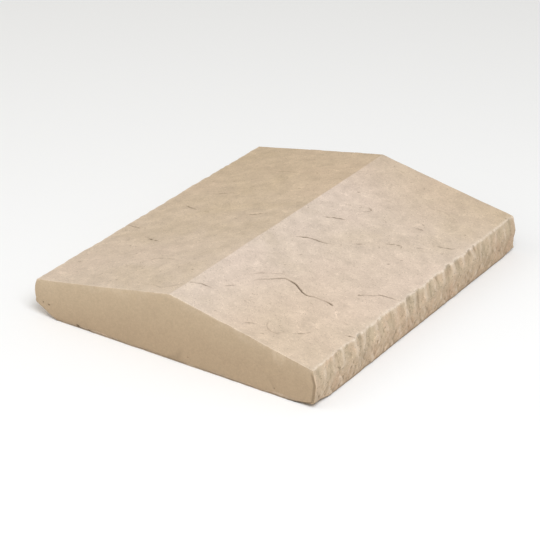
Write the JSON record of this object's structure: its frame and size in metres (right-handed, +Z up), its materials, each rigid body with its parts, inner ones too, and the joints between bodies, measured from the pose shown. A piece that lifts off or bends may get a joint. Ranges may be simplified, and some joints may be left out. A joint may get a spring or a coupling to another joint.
{
  "type": "peaked wall cap",
  "caption": "Cast-stone wall cap with a two-way sloping, cleft-textured top, smooth cast ends, chiselled long sides and a flat bed.",
  "frame": {"origin": "middle of the flat bed, on the surface it lies on", "axes": "+Z up; the ridge runs along Y; the chiselled long sides face +X and -X; the smooth cast ends face +Y and -Y"},
  "size_m": [0.41, 0.495, 0.088],
  "materials": {
    "cast_stone": "matt buff cast stone, cleft top, chiselled long sides, smooth ends"
  },
  "bodies": {
    "root": {"wall_cap": "cast_stone"}
  },
  "joints": []
}
